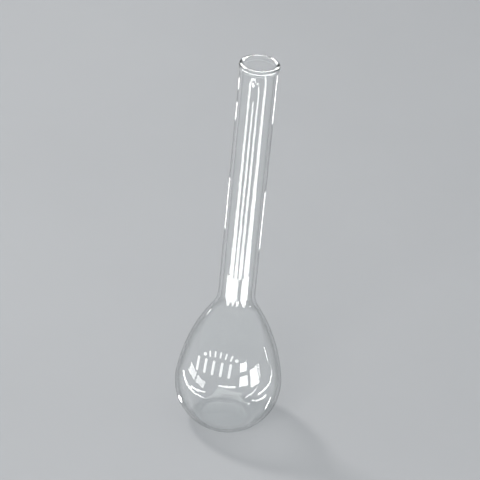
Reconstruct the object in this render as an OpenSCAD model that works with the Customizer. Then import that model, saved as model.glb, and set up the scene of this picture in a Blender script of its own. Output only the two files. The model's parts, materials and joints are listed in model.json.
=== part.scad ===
// Long-necked glass flask that stands upright on its own flattened base.
// Sizes are in millimetres and +Z is up. The origin is the middle of the base, level with the
// surface that the flask stands on. The printed marks face -Y.

/* [Ball] */
// Outer diameter of the ball
ball_d = 58.4; // [52:0.2:64]
// Height of the ball's centre above the table
ball_z = 24.1; // [22:0.1:25]
// Wall thickness of the ball, the shoulder and the base
ball_wall = 1.4; // [1:0.1:1.8]

/* [Base] */
// Radius of the rounded heel between the ball and the base
heel_r = 6; // [5:0.5:8]
// Width of the flat ring that touches the table
foot_ring_w = 2; // [1:0.5:3]
// Rise of the pushed-up middle of the base
punt_rise = 1.2; // [0.6:0.1:1.8]

/* [Shoulder] */
// Radius of the long outward curve from the ball up to the throat
shoulder_r = 104; // [90:1:120]
// Angle above the ball's equator at which that curve begins
shoulder_from = 7.6; // [5:0.1:10]
// Radius of the hollow curve that turns the shoulder into the neck
throat_r = 20.4; // [16:0.1:24]

/* [Neck] */
// Overall height of the flask
flask_h = 218; // [180:1:260]
// Outer diameter of the neck
neck_d = 20; // [19:0.1:22]
// Diameter of the bore through the neck and the mouth
bore_d = 16.4; // [15:0.1:17]

/* [Rim] */
// Outer diameter of the bead around the mouth
bead_d = 21; // [20.6:0.1:23]
// Height of the bead
bead_h = 3.4; // [3:0.1:4]

/* [Printed marks] */
// Thickness of the fired enamel
enamel_t = 0.12; // [0.1:0.01:0.3]
// Height of the middle of the row of bars
bars_z = 46.2; // [42:0.1:48]
// How far the row of bars sits to the left of the other marks
bars_left = 3; // [0:0.5:5]
// Number of bars
bar_count = 5; // [3:1:6]
// Distance between neighbouring bars
bar_pitch = 4.6; // [3:0.1:5]
// Height of one bar
bar_h = 8.2; // [4:0.1:9]
// Width of one bar
bar_w = 1.4; // [0.8:0.1:2]
// Height of the middle of the row of ticks
ticks_z = 53.5; // [52:0.1:55]
// Radius of the curve that the ticks and dots stand on
ticks_curve_r = 28; // [20:1:60]
// Number of ticks
tick_count = 5; // [3:1:5]
// Distance between neighbouring ticks
tick_pitch = 3; // [2:0.1:3]
// Height of one tick
tick_h = 3.4; // [2:0.1:4]
// Width of one tick
tick_w = 0.9; // [0.5:0.1:1.2]
// Diameter of the dots at the ends of the ticks
dot_d = 1.9; // [1:0.1:2.5]
// Distance from the middle tick to each dot
dot_at = 8.8; // [8:0.1:10]

/* [Hidden] */
$fn = 128;

ball_r = ball_d / 2;
neck_r = neck_d / 2;
bore_r = bore_d / 2;
glass_tint = "aliceblue";
glass_alpha = 0.4;

// The heel is tangent to the ball inside it and to the table
heel_x = sqrt(pow(ball_r - heel_r, 2) - pow(ball_z - heel_r, 2));
// The punt is a shallow dome that meets the table inside the foot ring
punt_edge_r = heel_x - foot_ring_w;
punt_r = (pow(punt_edge_r, 2) + pow(punt_rise, 2)) / (2 * punt_rise);
punt_z = punt_rise - punt_r;

// Middle of the shoulder curve, beyond the flask's axis, where that curve is tangent to the ball
shoulder_x = (ball_r - shoulder_r) * cos(shoulder_from);
shoulder_z = ball_z + (ball_r - shoulder_r) * sin(shoulder_from);
ball_top_z = ball_z + ball_r * sin(shoulder_from);

// The throat's outer curve is tangent to the shoulder and to the neck. Its inner curve has its
// middle at the same height, and is tangent to the shoulder's inside and to the bore.
throat_rise = sqrt(pow(shoulder_r + throat_r, 2) - pow(neck_r + throat_r - shoulder_x, 2));
throat_angle = atan2(throat_rise, neck_r + throat_r - shoulder_x);
shoulder_in_r = shoulder_r - ball_wall;
bore_reach = bore_r - shoulder_x;
throat_in_r = (pow(throat_rise, 2) / (shoulder_in_r - bore_reach) - shoulder_in_r - bore_reach) / 2;
shoulder_top_z = shoulder_z + shoulder_r * sin(throat_angle);
neck_bottom_z = shoulder_z + throat_rise;

bead_stub = 1;
neck_top_z = flask_h - bead_h - bead_stub;
slab_w = ball_r + 1;

// Point on the shoulder curve at height z
function skin_angle(z) = asin((z - shoulder_z) / shoulder_r);
function skin_x(z) = shoulder_x + shoulder_r * cos(skin_angle(z));

// Everything from the axis outwards between two heights
module slab(from_z, to_z) {
    translate([0, from_z])
        square([slab_w, to_z - from_z]);
}

// Everything below the line from the ball's middle through the heel's middle
module base_side() {
    far = 2;
    polygon([[0, ball_z], [far * heel_x, ball_z - far * (ball_z - heel_r)], [0, -ball_r]]);
}

// Half-section of the base, filled from the axis out to its outer skin or its inner one
module base_half(wall) {
    difference() {
        union() {
            translate([0, wall])
                square([heel_x, heel_r]);
            translate([heel_x, heel_r])
                circle(heel_r - wall);
            translate([0, heel_r])
                square([heel_x, ball_z - heel_r]);
        }
        translate([0, punt_z])
            circle(punt_r + wall);
    }
}

module base() {
    color(glass_tint, glass_alpha)
        rotate_extrude()
            intersection() {
                difference() {
                    base_half(0);
                    base_half(ball_wall);
                }
                base_side();
            }
}

module ball() {
    color(glass_tint, glass_alpha)
        rotate_extrude()
            difference() {
                intersection() {
                    translate([0, ball_z])
                        difference() {
                            circle(ball_r);
                            circle(ball_r - ball_wall);
                        }
                    slab(-1, ball_top_z);
                }
                base_side();
            }
}

module shoulder() {
    color(glass_tint, glass_alpha)
        rotate_extrude()
            intersection() {
                translate([shoulder_x, shoulder_z])
                    difference() {
                        circle(shoulder_r);
                        circle(shoulder_in_r);
                    }
                slab(ball_top_z, shoulder_top_z);
            }
}

module throat() {
    color(glass_tint, glass_alpha)
        rotate_extrude()
            intersection() {
                difference() {
                    translate([bore_r + throat_in_r, neck_bottom_z])
                        circle(throat_in_r);
                    translate([neck_r + throat_r, neck_bottom_z])
                        circle(throat_r);
                }
                slab(shoulder_top_z, neck_bottom_z);
            }
}

module neck_tube() {
    color(glass_tint, glass_alpha)
        rotate_extrude()
            translate([bore_r, neck_bottom_z])
                square([neck_r - bore_r, neck_top_z - neck_bottom_z]);
}

// Rounded bead with a millimetre of the plain neck below it
module rim_bead() {
    lip_r = (bead_d / 2 - bore_r) / 2;
    lip_low_z = flask_h - bead_h + lip_r;
    lip_high_z = flask_h - lip_r;
    color(glass_tint, glass_alpha)
        rotate_extrude() {
            translate([bore_r, neck_top_z])
                square([neck_r - bore_r, lip_low_z - neck_top_z]);
            translate([bore_r, lip_low_z])
                square([2 * lip_r, lip_high_z - lip_low_z]);
            for (z = [lip_low_z, lip_high_z])
                translate([bore_r + lip_r, z])
                    circle(lip_r);
        }
}

// A thin skin over the shoulder that keeps only what the flat drawing covers. The drawing's
// middle is at height z on the -Y side, and it is projected along the glass's own normal.
module enamel(z) {
    deep = 5;
    margin = 9;
    intersection() {
        rotate_extrude()
            intersection() {
                translate([shoulder_x, shoulder_z])
                    difference() {
                        circle(shoulder_r + enamel_t);
                        circle(shoulder_r);
                    }
                slab(z - margin, z + margin);
            }
        translate([0, -skin_x(z), shoulder_z + shoulder_r * sin(skin_angle(z))])
            rotate([90 - skin_angle(z), 0, 0])
                linear_extrude(2 * deep, center = true)
                    children();
    }
}

// Upright bar with round ends
module bar(w, h) {
    square([w, h - w], center = true);
    for (side = [-1, 1])
        translate([0, side * (h - w) / 2])
            circle(w / 2);
}

// Sends its children to the curve of the upper row, x across from its middle
module on_curve(x) {
    lean = asin(x / ticks_curve_r);
    translate([0, -ticks_curve_r])
        rotate(-lean)
            translate([0, ticks_curve_r])
                children();
}

module enamel_dots() {
    color("white")
        enamel(ticks_z)
            for (side = [-1, 1])
                on_curve(side * dot_at)
                    circle(dot_d / 2);
}

module enamel_ticks() {
    color("white")
        enamel(ticks_z)
            for (i = [0 : tick_count - 1])
                on_curve((i - (tick_count - 1) / 2) * tick_pitch)
                    bar(tick_w, tick_h);
}

module enamel_bars() {
    color("white")
        enamel(bars_z)
            for (i = [0 : bar_count - 1])
                translate([(i - (bar_count - 1) / 2) * bar_pitch - bars_left, 0])
                    bar(bar_w, bar_h);
}

rim_bead();
neck_tube();
throat();
shoulder();
ball();
base();
enamel_dots();
enamel_ticks();
enamel_bars();
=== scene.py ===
import itertools
import json
import math
import random
from types import SimpleNamespace

import bpy
import numpy as np
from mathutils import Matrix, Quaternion, Vector


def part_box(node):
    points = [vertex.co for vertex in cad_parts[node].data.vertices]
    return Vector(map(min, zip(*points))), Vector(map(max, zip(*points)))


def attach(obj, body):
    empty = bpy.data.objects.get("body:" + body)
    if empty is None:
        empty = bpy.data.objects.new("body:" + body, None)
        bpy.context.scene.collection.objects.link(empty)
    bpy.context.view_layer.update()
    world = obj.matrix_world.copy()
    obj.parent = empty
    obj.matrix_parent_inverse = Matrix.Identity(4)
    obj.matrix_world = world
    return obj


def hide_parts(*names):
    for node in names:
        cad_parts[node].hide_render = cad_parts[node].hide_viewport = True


# The glass is rebuilt as smooth lathe meshes, one for each glass node of the CAD, and the enamel
# marks keep their CAD shape. Most bright shapes in the glass are reflections of lights and cards
# that nothing else sees.

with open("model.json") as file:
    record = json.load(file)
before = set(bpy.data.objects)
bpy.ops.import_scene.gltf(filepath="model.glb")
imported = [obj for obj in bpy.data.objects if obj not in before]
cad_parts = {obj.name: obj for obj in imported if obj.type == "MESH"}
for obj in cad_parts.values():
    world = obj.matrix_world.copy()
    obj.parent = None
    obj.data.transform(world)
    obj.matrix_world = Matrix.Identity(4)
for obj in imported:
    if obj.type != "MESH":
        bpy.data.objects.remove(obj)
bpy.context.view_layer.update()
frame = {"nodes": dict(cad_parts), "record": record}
MM = 0.001

# Glass dimensions that the frame's boxes don't show, in metres. The upright is the straight part
# of the bead's side, and the fillet under the bead is one that the CAD leaves out.
WALL = 1.4 * MM
HEEL_R = 6.0 * MM
FOOT_W = 2.0 * MM
PUNT_RISE = 1.2 * MM
SHOULDER_R = 104.0 * MM
LIP_UPRIGHT = 1.1 * MM
LIP_FILLET = 0.6 * MM

# Mesh fineness
TURN_STEPS = 176
CURVE_STEP = 1.3 * MM
FINE_STEP = 0.35 * MM
LIP_STEP = FINE_STEP / 2
TUBE_STEP = 4.0 * MM

# Unevenness of drawn and blown glass, as waves: size in mm, lobes round the axis, radians per metre
# of height and per metre along the section, and phase
WAVES = (
    (0.0050, 3, 22, 0, 0.0),
    (0.0035, 5, -16, 0, 1.3),
    (0.0014, 9, 35, 0, 0.4),
    (0.0010, 14, 0, 0, 2.1),
    (0.0040, 2, 0, 210, 0.7),
)
# The waves fade away inside this radius, and below this height the foot stays flat
CALM_R = 8.0 * MM
FOOT_BAND = 0.4 * MM

# Looks of the materials. Colours are linear. Noise, or the angle of view, mixes the two of a pair.
# The enamel's grain is the depth of its fine bumps, in metres.
GLASS_IOR = 1.474
GLASS_TINTS = ((0.975, 0.985, 0.982, 1), (0.995, 0.998, 0.997, 1))
GLASS_SHADOWS = ((0.95, 0.955, 0.955, 1), (0.42, 0.44, 0.44, 1))
# Painted shade: the glass's colour darkens to these where it is seen edge on, for a dark outline, less on
# the bead
WALL_EDGE_PAINTED_SHADE = (0.13, 0.155, 0.15, 1)
LIP_EDGE_PAINTED_SHADE = (0.66, 0.70, 0.69, 1)
ENAMEL_TINTS = ((0.80, 0.80, 0.79, 1), (0.95, 0.95, 0.94, 1))
ENAMEL_GRAIN = 0.03 * MM
PAPER_TINTS = ((0.285, 0.288, 0.292, 1), (0.305, 0.308, 0.312, 1))
PAPER_FAR = (0.80, 0.81, 0.82, 1)
SKY = (0.9, 0.95, 1.0, 1)
SKY_STRENGTH = 0.7

# Backdrop: radii of the rings on its flat floor, then the start and the radius of its bend, and how
# far its wall rises above the bend
FLOOR_RINGS = (0.001, 0.4, 1.2)
BEND_START = 2.4
BEND_R = 1.2
WALL_RISE = 1.6
BEND_STEPS = 16
BACKDROP_STEPS = 96

# Camera: where it stands about the flask, what it aims at, and how far it is rolled
CAMERA_AZIMUTH = 13.4
CAMERA_ELEVATION = 30.7
CAMERA_ROLL = 5.71
CAMERA_DISTANCE = 1.25
CAMERA_LENS = 177.2
CAMERA_SENSOR = 36.0
CAMERA_CLIP = (0.01, 50)
AIM_HEIGHT = 0.1132
AIM_SIDE = -0.0011

# Glowing cards on the floor: height of the first above it, how much higher each further one lies so
# that no two share a plane, and the most that one face turns, in degrees
CARD_LIFT = 0.002
CARD_STEP = 0.00001
CARD_TURN = 5.0
card_numbers = itertools.count()
# Distances at which the long streaks' cards start and end, and between which a glow that is
# stronger beside the flask falls to its own strength
STREAK_START = 0.160
STREAK_END = 1.3
GLOW_FADE = (0.13, 0.43)
# The glints' cards: how far one spreads in degrees, its width, and how far its end is off a circle
GLINT_SPREAD = (3, 9)
GLINT_WIDTH = (0.0015, 0.004)
GLINT_SLANT = (-0.004, 0.004)


# ---------------------------------------------------------------- outline of the glass

def half_width(node):
    """Largest radius of a CAD node about the flask's axis."""
    low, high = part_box(node)
    return (high[0] - low[0]) / 2


def bottom(node):
    """Lowest height of a CAD node."""
    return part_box(node)[0][2]


def top(node):
    """Greatest height of a CAD node."""
    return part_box(node)[1][2]


def bore_radius():
    """Radius of the mouth's bore, from the record."""
    mounts = {m["name"]: m for m in frame["record"]["mounts"]}
    return mounts["mouth_bore"]["dims"]["r_mm"] * MM


def line(start, end, step):
    """Points from start up to but not including end."""
    start, end = np.array(start), np.array(end)
    count = max(1, math.ceil(np.linalg.norm(end - start) / step))
    return [start + (end - start) * i / count for i in range(count)]


def arc(centre, start, end, step):
    """Points round centre from start up to but not including end, the short way. Half a turn goes
    anticlockwise."""
    centre, start, end = np.array(centre), np.array(start), np.array(end)
    radius = np.linalg.norm(start - centre)
    first = math.atan2(*(start - centre)[::-1])
    last = math.atan2(*(end - centre)[::-1])
    sweep = (last - first + math.pi) % (2 * math.pi) - math.pi
    if math.isclose(abs(sweep), math.pi, abs_tol=1e-6):
        sweep = math.pi
    count = max(3, math.ceil(radius * abs(sweep) / step))
    angles = [first + sweep * i / count for i in range(count)]
    return [centre + radius * np.array([math.cos(a), math.sin(a)]) for a in angles]


def beyond(start, through, distance):
    """The point at distance from start on the line through another point."""
    start, through = np.array(start), np.array(through)
    return start + (through - start) * distance / np.linalg.norm(through - start)


def centre_of_arc(low, high, radius):
    """Centre, on the axis side, of the arc of that radius through two points."""
    low, high = np.array(low), np.array(high)
    half = (high - low) / 2
    reach = math.sqrt(radius ** 2 - half @ half)
    side = np.array([-half[1], half[0]]) / np.linalg.norm(half)
    return low + half + side * reach


def outer_profile():
    """Radii, arc centres (_c) and joints of the outer skin. Points are (radius, height)."""
    p = SimpleNamespace(bore_r=bore_radius())
    p.ball_r, p.neck_r = half_width("ball"), half_width("neck_tube")
    p.neck_low, p.neck_high = bottom("neck_tube"), top("neck_tube")
    p.shoulder_low = (half_width("shoulder"), bottom("shoulder"))
    p.shoulder_high = (half_width("throat"), bottom("throat"))
    p.shoulder_c = centre_of_arc(p.shoulder_low, p.shoulder_high, SHOULDER_R)
    rise = (p.shoulder_low[1] - p.shoulder_c[1]) / (p.shoulder_low[0] - p.shoulder_c[0])
    p.ball_c = (0.0, p.shoulder_low[1] - p.shoulder_low[0] * rise)
    heel_x = math.sqrt((p.ball_r - HEEL_R) ** 2 - (p.ball_c[1] - HEEL_R) ** 2)
    p.heel_c = (heel_x, HEEL_R)
    p.heel_end = beyond(p.ball_c, p.heel_c, p.ball_r)
    p.punt_x = heel_x - FOOT_W
    p.punt_r = (p.punt_x ** 2 + PUNT_RISE ** 2) / (2 * PUNT_RISE)
    p.punt_c = (0.0, PUNT_RISE - p.punt_r)
    flare = p.shoulder_high[0] - p.neck_r
    throat_r = (flare ** 2 + (p.neck_low - p.shoulder_high[1]) ** 2) / (2 * flare)
    p.throat_c = (p.neck_r + throat_r, p.neck_low)
    return p


def add_inner_profile(p):
    """Adds the inner skin's own arc centres and joints. Below the throat it is WALL inside the outer."""
    shoulder_r = SHOULDER_R - WALL
    reach = p.bore_r - p.shoulder_c[0]
    climb = p.neck_low - p.shoulder_c[1]
    throat_r = (climb ** 2 / (shoulder_r - reach) - shoulder_r - reach) / 2
    p.in_throat_c = (p.bore_r + throat_r, p.neck_low)
    p.in_shoulder_high = beyond(p.shoulder_c, p.in_throat_c, shoulder_r)
    p.in_shoulder_low = beyond(p.shoulder_c, p.shoulder_low, shoulder_r)
    p.in_heel_end = beyond(p.ball_c, p.heel_c, p.ball_r - WALL)
    p.in_punt_x = math.sqrt((p.punt_r + WALL) ** 2 - (WALL - p.punt_c[1]) ** 2)


def underside(p):
    """From the axis over the punt, across the foot ring and round the heel."""
    heel_x = p.heel_c[0]
    points = arc(p.punt_c, (0, PUNT_RISE), (p.punt_x, 0), CURVE_STEP)
    points += line((p.punt_x, 0), (heel_x, 0), CURVE_STEP)
    points += arc(p.heel_c, (heel_x, 0), p.heel_end, FINE_STEP)
    return points


def inner_floor(p):
    """From the inside of the heel, across and over the punt to the axis."""
    heel_x = p.heel_c[0]
    points = arc(p.heel_c, p.in_heel_end, (heel_x, WALL), FINE_STEP)
    points += line((heel_x, WALL), (p.in_punt_x, WALL), CURVE_STEP)
    points += arc(p.punt_c, (p.in_punt_x, WALL), (0, PUNT_RISE + WALL), CURVE_STEP)
    points += [np.array([0, PUNT_RISE + WALL])]
    return points


def lip(p):
    """Up the end of the neck, out over a fillet, round the bead and down into the bore."""
    lip_out = half_width("rim_bead")
    lip_r = (lip_out - p.bore_r) / 2
    lip_x = p.bore_r + lip_r
    high = (lip_x, top("rim_bead") - lip_r)
    low = (lip_x, high[1] - LIP_UPRIGHT)
    fillet_x = p.neck_r + LIP_FILLET
    drop = math.sqrt((lip_r + LIP_FILLET) ** 2 - (fillet_x - lip_x) ** 2)
    fillet_c = (fillet_x, low[1] - drop)
    fillet_end = beyond(fillet_c, low, LIP_FILLET)
    points = line((p.neck_r, p.neck_high), (p.neck_r, fillet_c[1]), FINE_STEP)
    points += arc(fillet_c, (p.neck_r, fillet_c[1]), fillet_end, LIP_STEP)
    points += arc(low, fillet_end, (lip_out, low[1]), LIP_STEP)
    points += line((lip_out, low[1]), (lip_out, high[1]), FINE_STEP)
    points += arc(high, (lip_out, high[1]), (p.bore_r, high[1]), LIP_STEP)
    points += line((p.bore_r, high[1]), (p.bore_r, p.neck_high), FINE_STEP)
    return points


def outline():
    """The wall's section, from the axis under the base, up outside, over the lip and down inside to
    the axis. Each entry is (zone, points), with points as (radius, height)."""
    p = outer_profile()
    add_inner_profile(p)
    neck_foot, neck_head = (p.neck_r, p.neck_low), (p.neck_r, p.neck_high)
    bore_foot, bore_head = (p.bore_r, p.neck_low), (p.bore_r, p.neck_high)
    return [
        ("base", underside(p)),
        ("ball", arc(p.ball_c, p.heel_end, p.shoulder_low, CURVE_STEP)),
        ("shoulder", arc(p.shoulder_c, p.shoulder_low, p.shoulder_high, CURVE_STEP)),
        ("throat", arc(p.throat_c, p.shoulder_high, neck_foot, CURVE_STEP)),
        ("neck_tube", line(neck_foot, neck_head, TUBE_STEP)),
        ("rim_bead", lip(p)),
        ("neck_tube", line(bore_head, bore_foot, TUBE_STEP)),
        ("throat", arc(p.in_throat_c, bore_foot, p.in_shoulder_high, CURVE_STEP)),
        ("shoulder", arc(p.shoulder_c, p.in_shoulder_high, p.in_shoulder_low, CURVE_STEP)),
        ("ball", arc(p.ball_c, p.in_shoulder_low, p.in_heel_end, CURVE_STEP)),
        ("base", inner_floor(p)),
    ]


# ---------------------------------------------------------------- glass mesh

def add_object(name, data):
    """A new object in the scene."""
    thing = bpy.data.objects.new(name, data)
    bpy.context.collection.objects.link(thing)
    return thing


def unevenness(turn, height, along):
    """How far the wall stands off its true section."""
    size, lobes, climb, run, phase = np.array(WAVES).T[:, :, None, None]
    return (size * np.sin(lobes * turn + climb * height + run * along + phase)).sum(axis=0) * MM


def uneven_wall(section, along, turn):
    """The wall's points, in rows along its section and in columns round the axis."""
    reach, level = section[:, 0][:, None], section[:, 1][:, None]
    tangent = np.gradient(section, along, axis=0)
    tangent /= np.linalg.norm(tangent, axis=1)[:, None]
    lift = unevenness(turn[None, :], level, along[:, None]) * np.clip(reach / CALM_R, 0, 1) ** 2
    radius = reach + tangent[:, 1][:, None] * lift
    height = np.where(level < FOOT_BAND, level, level - tangent[:, 0][:, None] * lift)
    return np.stack([radius * np.cos(turn), radius * np.sin(turn), height], axis=2)


def glass_grid():
    """Positions and normals of the wall, as rows along its outline, and the rows that each zone takes."""
    rows, stretches = [], []
    for zone, points in outline():
        stretches.append((zone, len(rows), len(rows) + len(points)))
        rows += points
    section = np.array(rows)
    along = np.concatenate([[0], np.cumsum(np.linalg.norm(np.diff(section, axis=0), axis=1))])
    turn = np.arange(TURN_STEPS) * 2 * math.pi / TURN_STEPS
    place = uneven_wall(section, along, turn)
    round_way = (np.roll(place, -1, axis=1) - np.roll(place, 1, axis=1)) / 2
    normal = np.cross(round_way, np.gradient(place, along, axis=0))
    normal[0] = (0, 0, -1)
    normal[-1] = (0, 0, 1)
    normal /= np.linalg.norm(normal, axis=2)[:, :, None]
    return place, normal, stretches


def zone_rows(zone, stretches):
    """The rows of one zone in order round its section, and the pairs that a seam face joins."""
    last = stretches[-1][2] - 1
    runs = [range(a, min(b, last) + 1) for name, a, b in stretches if name == zone]
    rows = [row for run in runs for row in run]
    ends = [(run[-1], runs[(i + 1) % len(runs)][0]) for i, run in enumerate(runs)]
    seams = [pair for pair in ends if pair != (last, 0)]
    return rows, seams


def zone_vertices(rows, place):
    """One zone's vertices, and for each row the vertex at each step of the turn. A row on the axis
    is a single vertex."""
    verts, rings = [], {}
    for row in rows:
        if row in (0, len(place) - 1):
            rings[row] = [len(verts)] * TURN_STEPS
            verts.append(place[row, 0])
        else:
            rings[row] = range(len(verts), len(verts) + TURN_STEPS)
            verts += list(place[row])
    return verts, rings


def band(low, high, last):
    """The faces between two rows, as corners of (row, step)."""
    for i in range(TURN_STEPS):
        j = (i + 1) % TURN_STEPS
        if low in (0, last):
            yield (low, i), (high, j), (high, i)
        elif high in (0, last):
            yield (low, i), (low, j), (high, j)
        else:
            yield (low, i), (low, j), (high, j), (high, i)


def glass_mesh(zone, place, normal, stretches):
    """One zone of the wall as a closed mesh, with material 0 on its skin and 1 on its seam faces."""
    rows, seams = zone_rows(zone, stretches)
    verts, rings = zone_vertices(rows, place)
    bands = [(a, b, 0) for a, b in zip(rows, rows[1:]) if b == a + 1]
    bands += [(a, b, 1) for a, b in seams]
    faces, kinds, normals = [], [], []
    for low, high, kind in bands:
        for corners in band(low, high, len(place) - 1):
            faces.append([rings[row][step] for row, step in corners])
            kinds.append(kind)
            normals += [None if kind else tuple(normal[corner]) for corner in corners]
    mesh = bpy.data.meshes.new("glass_" + zone)
    mesh.from_pydata(verts, [], faces)
    mesh.polygons.foreach_set("material_index", kinds)
    mesh.polygons.foreach_set("use_smooth", [True] * len(faces))
    # A seam face keeps its own flat normal
    flat = [face.normal[:] for face in mesh.polygons for _ in face.vertices]
    mesh.normals_split_custom_set([smooth or plain for smooth, plain in zip(normals, flat)])
    return mesh


def make_glass():
    """The wall's six zones, by name. Each has painted shade where its glass is seen edge on, paler on the
    bead.
    """
    place, normal, stretches = glass_grid()
    wall = clear_glass("wall_glass", WALL_EDGE_PAINTED_SHADE)
    bead = clear_glass("lip_glass", LIP_EDGE_PAINTED_SHADE)
    seam = clear_seam()
    glass = {}
    for zone in ("base", "ball", "shoulder", "throat", "neck_tube", "rim_bead"):
        mesh = glass_mesh(zone, place, normal, stretches)
        mesh.materials.append(bead if zone == "rim_bead" else wall)
        mesh.materials.append(seam)
        piece = add_object("glass_" + zone, mesh)
        # Light that the floor scatters passes by the glass, which would only add speckles
        piece.visible_diffuse = False
        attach(piece, "root")
        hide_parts(zone)
        glass[zone] = piece
    return glass


# ---------------------------------------------------------------- materials

def new_material(name):
    """A material with nothing in its node tree but the output."""
    material = bpy.data.materials.new(name)
    material.use_nodes = True
    tree = material.node_tree
    tree.nodes.clear()
    output = tree.nodes.new("ShaderNodeOutputMaterial")
    return material, tree, output


def ramp(tree, source, span, values=(0, 1)):
    """Goes from the first of values to the second as source crosses span, and no further."""
    node = tree.nodes.new("ShaderNodeMapRange")
    node.inputs["From Min"].default_value, node.inputs["From Max"].default_value = span
    node.inputs["To Min"].default_value, node.inputs["To Max"].default_value = values
    tree.links.new(source, node.inputs["Value"])
    return node.outputs["Result"]


def noise(tree, scale, detail=3.0):
    """Noise in the object's own frame, with about scale features to the metre."""
    where = tree.nodes.new("ShaderNodeTexCoord")
    node = tree.nodes.new("ShaderNodeTexNoise")
    node.inputs["Scale"].default_value = scale
    node.inputs["Detail"].default_value = detail
    tree.links.new(where.outputs["Object"], node.inputs["Vector"])
    return node.outputs["Fac"]


def from_middle(tree):
    """Distance from the object's origin, which is the middle of the floor."""
    where = tree.nodes.new("ShaderNodeTexCoord")
    node = tree.nodes.new("ShaderNodeVectorMath")
    node.operation = "LENGTH"
    tree.links.new(where.outputs["Object"], node.inputs[0])
    return node.outputs["Value"]


def edge_on(tree, blend):
    """0 where the surface faces the view, rising to 1 where it is seen edge on."""
    node = tree.nodes.new("ShaderNodeLayerWeight")
    node.inputs["Blend"].default_value = blend
    return node.outputs["Facing"]


def mix_colours(tree, share, first, second):
    """From the first colour to the second as share goes from 0 to 1. The first may be an output."""
    node = tree.nodes.new("ShaderNodeMixRGB")
    if isinstance(first, bpy.types.NodeSocket):
        tree.links.new(first, node.inputs["Color1"])
    else:
        node.inputs["Color1"].default_value = first
    node.inputs["Color2"].default_value = second
    tree.links.new(share, node.inputs["Fac"])
    return node.outputs["Color"]


def clear_glass(name, painted_edge_shade):
    """Colourless laboratory glass with faint haze. Where it is seen edge on, its colour is darkened
    towards the given edge colour, a painted shade for a dark outline. It lets light straight through to
    its shadow."""
    material, tree, output = new_material(name)
    shader = tree.nodes.new("ShaderNodeBsdfPrincipled")
    shader.inputs["Transmission Weight"].default_value = 1.0
    shader.inputs["IOR"].default_value = GLASS_IOR
    tint = mix_colours(tree, noise(tree, scale=45), *GLASS_TINTS)
    # Painted shade: the colour goes towards the edge colour where the glass is seen edge on
    edge = ramp(tree, edge_on(tree, blend=0.5), span=(0.55, 0.95))
    tree.links.new(mix_colours(tree, edge, tint, painted_edge_shade), shader.inputs["Base Color"])
    haze = ramp(tree, noise(tree, scale=260, detail=5), span=(0.4, 0.8), values=(0.0, 0.02))
    tree.links.new(haze, shader.inputs["Roughness"])
    see = tree.nodes.new("ShaderNodeBsdfTransparent")
    shadow = mix_colours(tree, edge_on(tree, blend=0.35), *GLASS_SHADOWS)
    tree.links.new(shadow, see.inputs["Color"])
    path = tree.nodes.new("ShaderNodeLightPath")
    mix = tree.nodes.new("ShaderNodeMixShader")
    tree.links.new(path.outputs["Is Shadow Ray"], mix.inputs["Fac"])
    tree.links.new(shader.outputs["BSDF"], mix.inputs[1])
    tree.links.new(see.outputs["BSDF"], mix.inputs[2])
    tree.links.new(mix.outputs["Shader"], output.inputs["Surface"])
    return material


def clear_seam():
    """Faces inside the fused wall, where one zone meets the next. They don't show."""
    material, tree, output = new_material("clear_seam")
    see = tree.nodes.new("ShaderNodeBsdfTransparent")
    tree.links.new(see.outputs["BSDF"], output.inputs["Surface"])
    return material


def white_enamel():
    """Fired white print: off-white, a little uneven, and slightly glossy."""
    material, tree, output = new_material("white_enamel")
    shader = tree.nodes.new("ShaderNodeBsdfPrincipled")
    patches = ramp(tree, noise(tree, scale=1800, detail=4), span=(0.3, 0.6))
    tree.links.new(mix_colours(tree, patches, *ENAMEL_TINTS), shader.inputs["Base Color"])
    gloss = ramp(tree, noise(tree, scale=900), span=(0.3, 0.7), values=(0.32, 0.5))
    tree.links.new(gloss, shader.inputs["Roughness"])
    bump = tree.nodes.new("ShaderNodeBump")
    bump.inputs["Strength"].default_value = 0.25
    bump.inputs["Distance"].default_value = ENAMEL_GRAIN
    tree.links.new(noise(tree, scale=4000, detail=2), bump.inputs["Height"])
    tree.links.new(bump.outputs["Normal"], shader.inputs["Normal"])
    tree.links.new(shader.outputs["BSDF"], output.inputs["Surface"])
    return material


def floor_paper():
    """Matte pale paper, lighter far off so that the room reads as even."""
    material, tree, output = new_material("floor_paper")
    shader = tree.nodes.new("ShaderNodeBsdfDiffuse")
    paper = mix_colours(tree, noise(tree, scale=6), *PAPER_TINTS)
    far = ramp(tree, from_middle(tree), span=(1.0, 3.4))
    tree.links.new(mix_colours(tree, far, paper, PAPER_FAR), shader.inputs["Color"])
    tree.links.new(shader.outputs["BSDF"], output.inputs["Surface"])
    return material


def glow(name, strength, near_gain=1.0):
    """Light from a card that can be seen through, near_gain times as strong beside the flask."""
    material, tree, output = new_material(name)
    light = tree.nodes.new("ShaderNodeEmission")
    light.inputs["Strength"].default_value = strength
    if near_gain != 1.0:
        fade = ramp(tree, from_middle(tree), GLOW_FADE, values=(strength * near_gain, strength))
        tree.links.new(fade, light.inputs["Strength"])
    see = tree.nodes.new("ShaderNodeBsdfTransparent")
    both = tree.nodes.new("ShaderNodeAddShader")
    tree.links.new(light.outputs["Emission"], both.inputs[0])
    tree.links.new(see.outputs["BSDF"], both.inputs[1])
    tree.links.new(both.outputs["Shader"], output.inputs["Surface"])
    return material


# ---------------------------------------------------------------- stage

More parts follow.
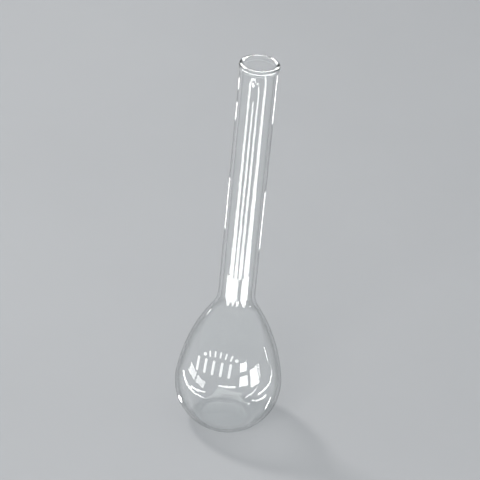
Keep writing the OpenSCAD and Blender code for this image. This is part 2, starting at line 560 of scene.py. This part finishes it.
def sweep_backdrop():
    """A pale floor that curves up into a round wall, so that no edge shows from any side."""
    section = [(ring, 0.0) for ring in FLOOR_RINGS]
    for a in np.linspace(0, math.pi / 2, BEND_STEPS + 1):
        section.append((BEND_START + BEND_R * math.sin(a), BEND_R - BEND_R * math.cos(a)))
    section.append((BEND_START + BEND_R, BEND_R + WALL_RISE))
    steps = BACKDROP_STEPS
    turns = np.arange(steps) * 2 * math.pi / steps
    verts = [(r * math.cos(t), r * math.sin(t), z) for r, z in section for t in turns]
    faces = [list(range(steps))]
    for start in range(0, (len(section) - 1) * steps, steps):
        for i in range(steps):
            j = (i + 1) % steps
            faces.append([start + i, start + steps + i, start + steps + j, start + j])
    mesh = bpy.data.meshes.new("backdrop")
    mesh.from_pydata(verts, [], faces)
    mesh.polygons.foreach_set("use_smooth", [True] * len(faces))
    mesh.materials.append(floor_paper())
    add_object("backdrop", mesh)


def around(azimuth, distance, height):
    """A point at an azimuth from the camera's own, in degrees, positive to the camera's right."""
    a = math.radians(CAMERA_AZIMUTH + azimuth)
    return Vector((math.sin(a) * distance, -math.cos(a) * distance, height))


def area_light(name, place, target, size, power, seen_in_glass=True):
    """A soft rectangular light that the camera doesn't see. size is (width, height), and power is
    in watts."""
    light = bpy.data.lights.new(name, "AREA")
    light.shape = "RECTANGLE"
    light.size, light.size_y = size
    light.energy = power
    lamp = add_object(name, light)
    lamp.location = place
    lamp.rotation_euler = (Vector(target) - Vector(place)).to_track_quat("-Z", "Y").to_euler()
    lamp.visible_camera = False
    lamp.visible_transmission = seen_in_glass
    return lamp


def only_lights(lamp, pieces):
    """Keeps a light or card to some pieces, as a photographer's flags do."""
    group = bpy.data.collections.new(lamp.name + "_pieces")
    for piece in pieces:
        group.objects.link(piece)
    lamp.light_linking.receiver_collection = group


def reflected_light(name, place, target, size, radiance, pieces):
    """A soft light that nothing but the reflections on some pieces sees."""
    power = radiance * math.pi * size[0] * size[1]
    lamp = area_light(name, place, target, size, power, seen_in_glass=False)
    lamp.visible_diffuse = False
    only_lights(lamp, pieces)


def reflected_card(name, corners, faces, material, pieces):
    """A glowing card that nothing but the reflections on some pieces sees."""
    mesh = bpy.data.meshes.new(name)
    mesh.from_pydata(corners, [], faces)
    mesh.materials.append(material)
    card = add_object(name, mesh)
    card.location.z = next(card_numbers) * CARD_STEP
    card.visible_camera = False
    card.visible_diffuse = False
    card.visible_transmission = False
    card.visible_shadow = False
    only_lights(card, pieces)


def band_corners(stops, width):
    """The near and the far corner of a band on the floor at each (azimuth, distance) of its middle."""
    return [
        around(azimuth, distance + side * width / 2, CARD_LIFT)
        for azimuth, distance in stops for side in (-1, 1)
    ]


def band_face(first):
    """The face between two stops of a band, from its first corner's number."""
    return (first, first + 2, first + 3, first + 1)


def floor_ribbon(name, route, width, material, pieces):
    """A narrow card on the floor along a route of (azimuth, distance) points."""
    azimuths, distances = zip(*route)
    count = math.ceil((max(azimuths) - min(azimuths)) / CARD_TURN) + len(route)
    marks = range(len(route))
    along = np.linspace(0, len(route) - 1, count + 1)
    stops = zip(np.interp(along, marks, azimuths), np.interp(along, marks, distances))
    faces = [band_face(2 * i) for i in range(count)]
    reflected_card(name, band_corners(stops, width), faces, material, pieces)


def floor_sector(name, azimuths, near, far, material, pieces):
    """A card on the floor between two azimuths and two distances."""
    route = [(azimuth, (near + far) / 2) for azimuth in azimuths]
    floor_ribbon(name, route, far - near, material, pieces)


def floor_strip(name, azimuth, width, near, far, material, pieces):
    """A straight card on the floor that points at the flask."""
    start, end = (around(azimuth, distance, CARD_LIFT) for distance in (near, far))
    side = around(azimuth + 90, width / 2, 0)
    corners = [start - side, start + side, end + side, end - side]
    reflected_card(name, corners, [(0, 1, 2, 3)], material, pieces)


def broken_glints(name, count, azimuths, distances, material, pieces):
    """Small scattered cards, for the ragged light in the uneven glass at the mouth."""
    draw = random.Random(name)
    corners, faces = [], []
    for i in range(count):
        azimuth = draw.uniform(*azimuths)
        distance = draw.uniform(*distances)
        spread = draw.uniform(*GLINT_SPREAD)
        width = draw.uniform(*GLINT_WIDTH)
        slant = draw.uniform(*GLINT_SLANT)
        stops = [(azimuth - spread / 2, distance), (azimuth + spread / 2, distance + slant)]
        corners += band_corners(stops, width)
        faces.append(band_face(4 * i))
    reflected_card(name, corners, faces, material, pieces)


# ---------------------------------------------------------------- what each part of the glass reflects
# Azimuths are in degrees from the camera's own, and distances, widths and heights are in metres.

def window_panes(belly):
    """A low window in front: its panes make the bright patches on the belly, round the print."""
    place, size = around(33, 1.0, 0.10), (0.28, 0.10)
    reflected_light("pane_high", place, (0, 0, 0.045), size, radiance=18, pieces=belly)
    pane = glow("pane_glow", strength=16)
    floor_sector("pane_near", (24, 42), 0.25, 0.90, pane, belly)
    floor_sector("pane_right", (48, 67), 0.19, 2.00, pane, belly)
    floor_sector("pane_low", (-18, 16), 0.245, 0.290, pane, belly)
    dim = glow("dim_pane_glow", strength=9)
    floor_sector("pane_left", (-66, -46), 0.145, 0.215, dim, belly)
    floor_sector("pane_far_left", (-91, -70), 0.145, 0.225, dim, belly)


def belly_curves(belly):
    """Ribbons whose reflections curve round the underside of the belly, as the window's frame does."""
    curve = glow("curve_glow", strength=15)
    routes = {
        "left_outer": ([(-104, 0.105), (-85, 0.095), (-62, 0.092), (-40, 0.097)], 0.008),
        "left_inner": ([(-72, 0.104), (-60, 0.110), (-40, 0.128)], 0.010),
        "left_low": ([(-96, 0.035), (-84, 0.035)], 0.006),
        "right_outer": ([(105, 0.195), (103, 0.145), (94, 0.116), (60, 0.114)], 0.010),
        "right_low": ([(78, 0.089), (60, 0.088), (47, 0.100)], 0.009),
        "right_inner": ([(35, 0.130), (49, 0.136), (59, 0.154), (65, 0.200)], 0.009),
        "right_spot": ([(87, 0.066), (79, 0.052), (71, 0.043)], 0.005),
    }
    for name, (route, width) in routes.items():
        floor_ribbon(name, route, width, curve, belly)
    floor_sector("right_inner_rise", (69, 72), 0.24, 1.50, curve, belly)
    floor_sector("right_faint", (97.5, 99.5), 0.285, 1.50, curve, belly)


def side_strips(belly, neck):
    """Tall soft lights round the sides, for lines of light down the body's outline and, seen from
    level, up the neck. Two cards behind do the same for views from the back."""
    tall, height, target = 0.30, 0.16, (0, 0, 0.1)
    for azimuth in (-130, 140):
        place = around(azimuth, 0.7, height)
        reflected_light(f"side_{azimuth}", place, target, (0.06, tall), radiance=8, pieces=belly)
    for azimuth, width in ((18, 0.07), (45, 0.05), (72, 0.05), (-20, 0.05), (200, 0.06)):
        place = around(azimuth, 1.0, height)
        reflected_light(f"side_{azimuth}", place, target, (width, tall), radiance=12, pieces=[neck])
    back = glow("back_glow", strength=12)
    for azimuth, width, near in ((-172, 0.07, 0.447), (-136, 0.05, 0.440)):
        floor_strip(f"back_{azimuth}", azimuth, width, near, 0.86, back, [neck])


def rim_arcs(bead, neck):
    """The bright arcs round the lip, the spots at its two sides, and the glints under it."""
    lip_middle = (0, 0, 0.216)
    bar = around(180, 1.0, 1.25)
    reflected_light("lip_light", bar, lip_middle, (3.2, 0.9), radiance=22, pieces=[bead])
    for azimuth in (-135, 135):
        spot = around(azimuth, 1.0, 0.48)
        name = f"lip_side_{azimuth}"
        reflected_light(name, spot, lip_middle, (0.5, 0.3), radiance=12, pieces=[bead])
    face = glow("lip_glow", strength=16)
    floor_sector("lip_face", (-110, 110), 0.4335, 0.450, face, [bead])
    glint = glow("glint_glow", strength=26)
    broken_glints("glints_near", 16, (-46, 0), (0.419, 0.432), glint, [bead, neck])


def neck_streaks(neck, throat, bead):
    """Four long streaks up the neck, the glare at its foot and its lit edges. Cards further out
    carry the streaks on in lower views."""
    streak = glow("streak_glow", strength=14, near_gain=1.2)
    strips = ((-44, 0.080, 0.424), (-16, 0.054, 0.393), (10, 0.060, 0.418), (46, 0.098, 0.432))
    for azimuth, width, far in strips:
        floor_strip(f"streak_{azimuth}", azimuth, width, STREAK_START, far, streak, [neck, throat])
    floor_strip("streak_over_bead", 42, 0.060, STREAK_START, STREAK_END, streak, [bead])
    floor_sector("foot_left", (-70, 5), 0.140, 0.161, streak, [neck, throat])
    floor_sector("foot_right", (24, 68), 0.138, 0.161, streak, [neck, throat])
    floor_sector("throat_spot", (83, 90), 0.300, 0.350, streak, [throat])
    edge = glow("edge_glow", strength=7)
    for near, far in ((0.205, 0.270), (0.352, 0.378), (0.397, 0.414)):
        floor_sector(f"edge_left_{far}", (-153, -138), near, far, edge, [neck])
    for near, far in ((0.184, 0.256), (0.351, 0.424)):
        floor_sector(f"edge_right_{far}", (137, 151), near, far, edge, [neck])
    strips = ((-44, 0.080, 0.432), (46, 0.098, 0.432), (-145, 0.10, 0.447), (144, 0.10, 0.447))
    for azimuth, width, near in strips:
        floor_strip(f"far_streak_{azimuth}", azimuth, width, near, STREAK_END, streak, [neck])


def studio(glass):
    """Soft overhead light, a key from behind, a weak fill, and the shapes that the glass reflects."""
    middle = (0, 0, 0.08)
    area_light("overhead", (0, 0, 2.5), (0, 0, 0), size=(3.0, 3.0), power=46)
    area_light("key", around(-128, 1.0, 1.25), middle, size=(0.22, 0.22), power=12)
    place = around(-20, 1.3, 0.9)
    fill = area_light("front_fill", place, middle, size=(0.6, 0.6), power=9, seen_in_glass=False)
    fill.visible_glossy = False
    belly = [glass["ball"], glass["shoulder"], glass["base"]]
    neck, throat, bead = glass["neck_tube"], glass["throat"], glass["rim_bead"]
    window_panes(belly)
    belly_curves(belly)
    side_strips(belly, neck)
    rim_arcs(bead, neck)
    neck_streaks(neck, throat, bead)
    world = bpy.data.worlds.new("studio")
    world.use_nodes = True
    background = world.node_tree.nodes["Background"]
    background.inputs["Color"].default_value = SKY
    background.inputs["Strength"].default_value = SKY_STRENGTH
    bpy.context.scene.world = world
    bpy.context.scene.view_settings.view_transform = "Standard"


def make_camera():
    """The photograph's view of the flask."""
    data = bpy.data.cameras.new("camera")
    data.sensor_width = CAMERA_SENSOR
    data.lens = CAMERA_LENS
    data.clip_start, data.clip_end = CAMERA_CLIP
    camera = add_object("camera", data)
    a, e = math.radians(CAMERA_AZIMUTH), math.radians(CAMERA_ELEVATION)
    back = Vector((math.sin(a) * math.cos(e), -math.cos(a) * math.cos(e), math.sin(e)))
    right = Vector((math.cos(a), math.sin(a), 0))
    aim = Vector((0, 0, AIM_HEIGHT)) + right * AIM_SIDE
    camera.location = aim + back * CAMERA_DISTANCE
    camera.rotation_mode = "QUATERNION"
    facing = (-back).to_track_quat("-Z", "Y")
    camera.rotation_quaternion = facing @ Quaternion((0, 0, 1), math.radians(CAMERA_ROLL))
    bpy.context.scene.camera = camera


def enamel_marks():
    """The CAD's own print, in enamel."""
    enamel = white_enamel()
    for node in ("enamel_dots", "enamel_ticks", "enamel_bars"):
        materials = frame["nodes"][node].data.materials
        materials.clear()
        materials.append(enamel)


make_camera()
sweep_backdrop()
studio(make_glass())
enamel_marks()
